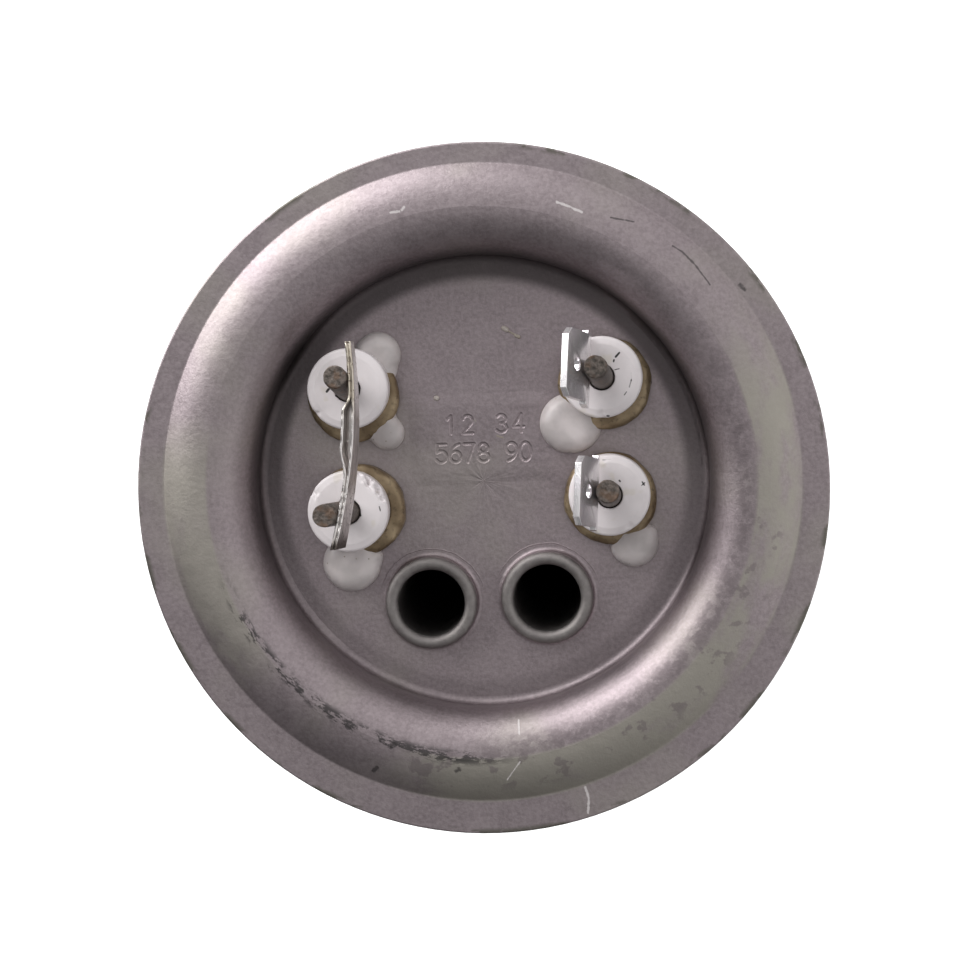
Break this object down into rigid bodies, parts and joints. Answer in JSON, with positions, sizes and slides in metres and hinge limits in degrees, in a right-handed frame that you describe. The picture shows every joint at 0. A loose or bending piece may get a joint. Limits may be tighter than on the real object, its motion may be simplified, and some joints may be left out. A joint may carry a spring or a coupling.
{
  "type": "heating element",
  "caption": "Twin hairpin heating element on a dished round flange, with terminals, a jumper and pockets for a thermostat.",
  "frame": {"origin": "centre of the ring-shaped sealing face under the flange's flat rim, on the axis of the drawn neck", "axes": "+Z towards the dry side with the terminals, so that the tubes run down -Z into the tank; +Y from the thermostat pockets towards the upper pair of terminals; +X from the jumper towards the spade tabs"},
  "size_m": [0.092, 0.092, 0.2847],
  "materials": {
    "flange_steel": "matt pressed stainless steel",
    "sheath_steel": "drawn stainless tube",
    "pocket_steel": "thin stainless tube with a welded mouth",
    "pin_steel": "dull, tarnished steel rod",
    "jumper_steel": "plated strip, folded double",
    "tab_metal": "bright plated sheet",
    "braze_metal": "dull brown and gold filler metal",
    "insulator_ceramic": "unglazed white ceramic",
    "sealing_resin": "grey white resin, satin",
    "oxide_powder": "packed white powder",
    "coil_wire": "resistance wire"
  },
  "bodies": {
    "root": {"braze_ring_lower_left": "braze_metal", "braze_ring_lower_right": "braze_metal", "braze_ring_upper_left": "braze_metal", "braze_ring_upper_right": "braze_metal", "end_seal_lower_left": "sealing_resin", "end_seal_lower_right": "sealing_resin", "end_seal_upper_left": "sealing_resin", "end_seal_upper_right": "sealing_resin", "flange": "flange_steel", "heater_sheath_lower": "sheath_steel", "heater_sheath_upper": "sheath_steel", "insulator_lower_left": "insulator_ceramic", "insulator_lower_right": "insulator_ceramic", "insulator_upper_left": "insulator_ceramic", "insulator_upper_right": "insulator_ceramic", "jumper_strip": "jumper_steel", "oxide_filling_lower": "oxide_powder", "oxide_filling_upper": "oxide_powder", "resin_drop_lower_left": "sealing_resin", "resin_drop_lower_right": "sealing_resin", "resin_drop_upper_left_inner": "sealing_resin", "resin_drop_upper_left_outer": "sealing_resin", "resin_drop_upper_right": "sealing_resin", "resistance_coil_lower": "coil_wire", "resistance_coil_upper": "coil_wire", "spade_tab_lower": "tab_metal", "spade_tab_upper": "tab_metal", "terminal_pin_lower_left": "pin_steel", "terminal_pin_lower_right": "pin_steel", "terminal_pin_upper_left": "pin_steel", "terminal_pin_upper_right": "pin_steel", "thermowell_left": "pocket_steel", "thermowell_right": "pocket_steel", "weld_bead_left": "pocket_steel", "weld_bead_right": "pocket_steel"}
  },
  "joints": []
}
